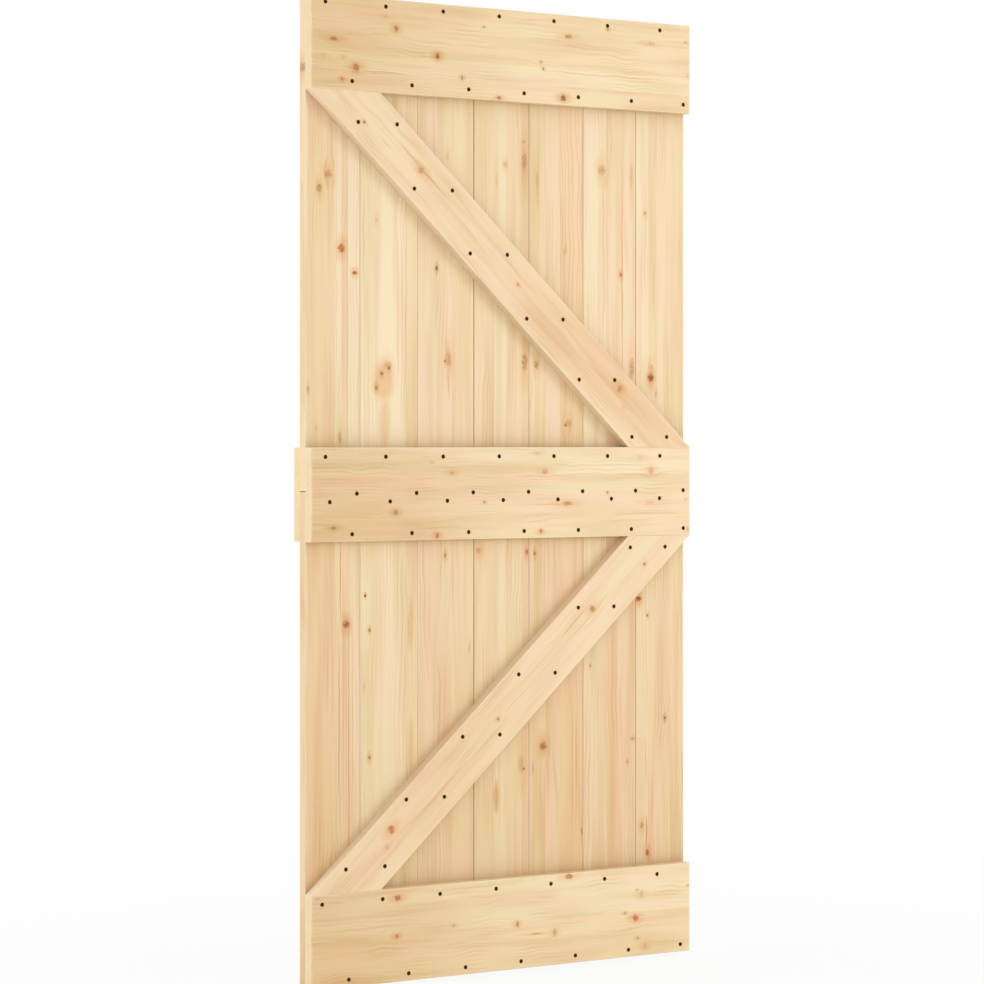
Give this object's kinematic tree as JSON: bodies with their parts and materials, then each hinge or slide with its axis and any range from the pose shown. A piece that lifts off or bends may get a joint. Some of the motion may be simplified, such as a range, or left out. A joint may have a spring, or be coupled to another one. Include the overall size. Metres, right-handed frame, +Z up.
{
  "type": "sliding barn door leaf",
  "caption": "Ledged and braced sliding barn door leaf in knotty natural pine: upright tongue-and-groove boards, front rails with K braces, a splice rail at the back and countersunk screw seats",
  "frame": {"origin": "middle of the top rail's front face, where the track's hangers are bolted on", "axes": "+X along the door's width, to the right seen from the front; +Y from the front to the back; +Z up"},
  "size_m": [1, 0.072, 2.1],
  "materials": {
    "board_pine": "planed, bare",
    "rail_pine": "planed, bare",
    "brace_pine": "planed, bare",
    "screw_steel": "blackened steel, for the screw heads"
  },
  "bodies": {
    "root": {"upper_board_1": "board_pine", "upper_board_2": "board_pine", "upper_board_3": "board_pine", "upper_board_4": "board_pine", "upper_board_5": "board_pine", "upper_board_6": "board_pine", "upper_board_7": "board_pine", "lower_board_1": "board_pine", "lower_board_2": "board_pine", "lower_board_3": "board_pine", "lower_board_4": "board_pine", "lower_board_5": "board_pine", "lower_board_6": "board_pine", "lower_board_7": "board_pine", "top_rail": "rail_pine", "middle_rail": "rail_pine", "bottom_rail": "rail_pine", "middle_rail_back": "rail_pine", "upper_brace": "brace_pine", "lower_brace": "brace_pine"}
  },
  "joints": []
}
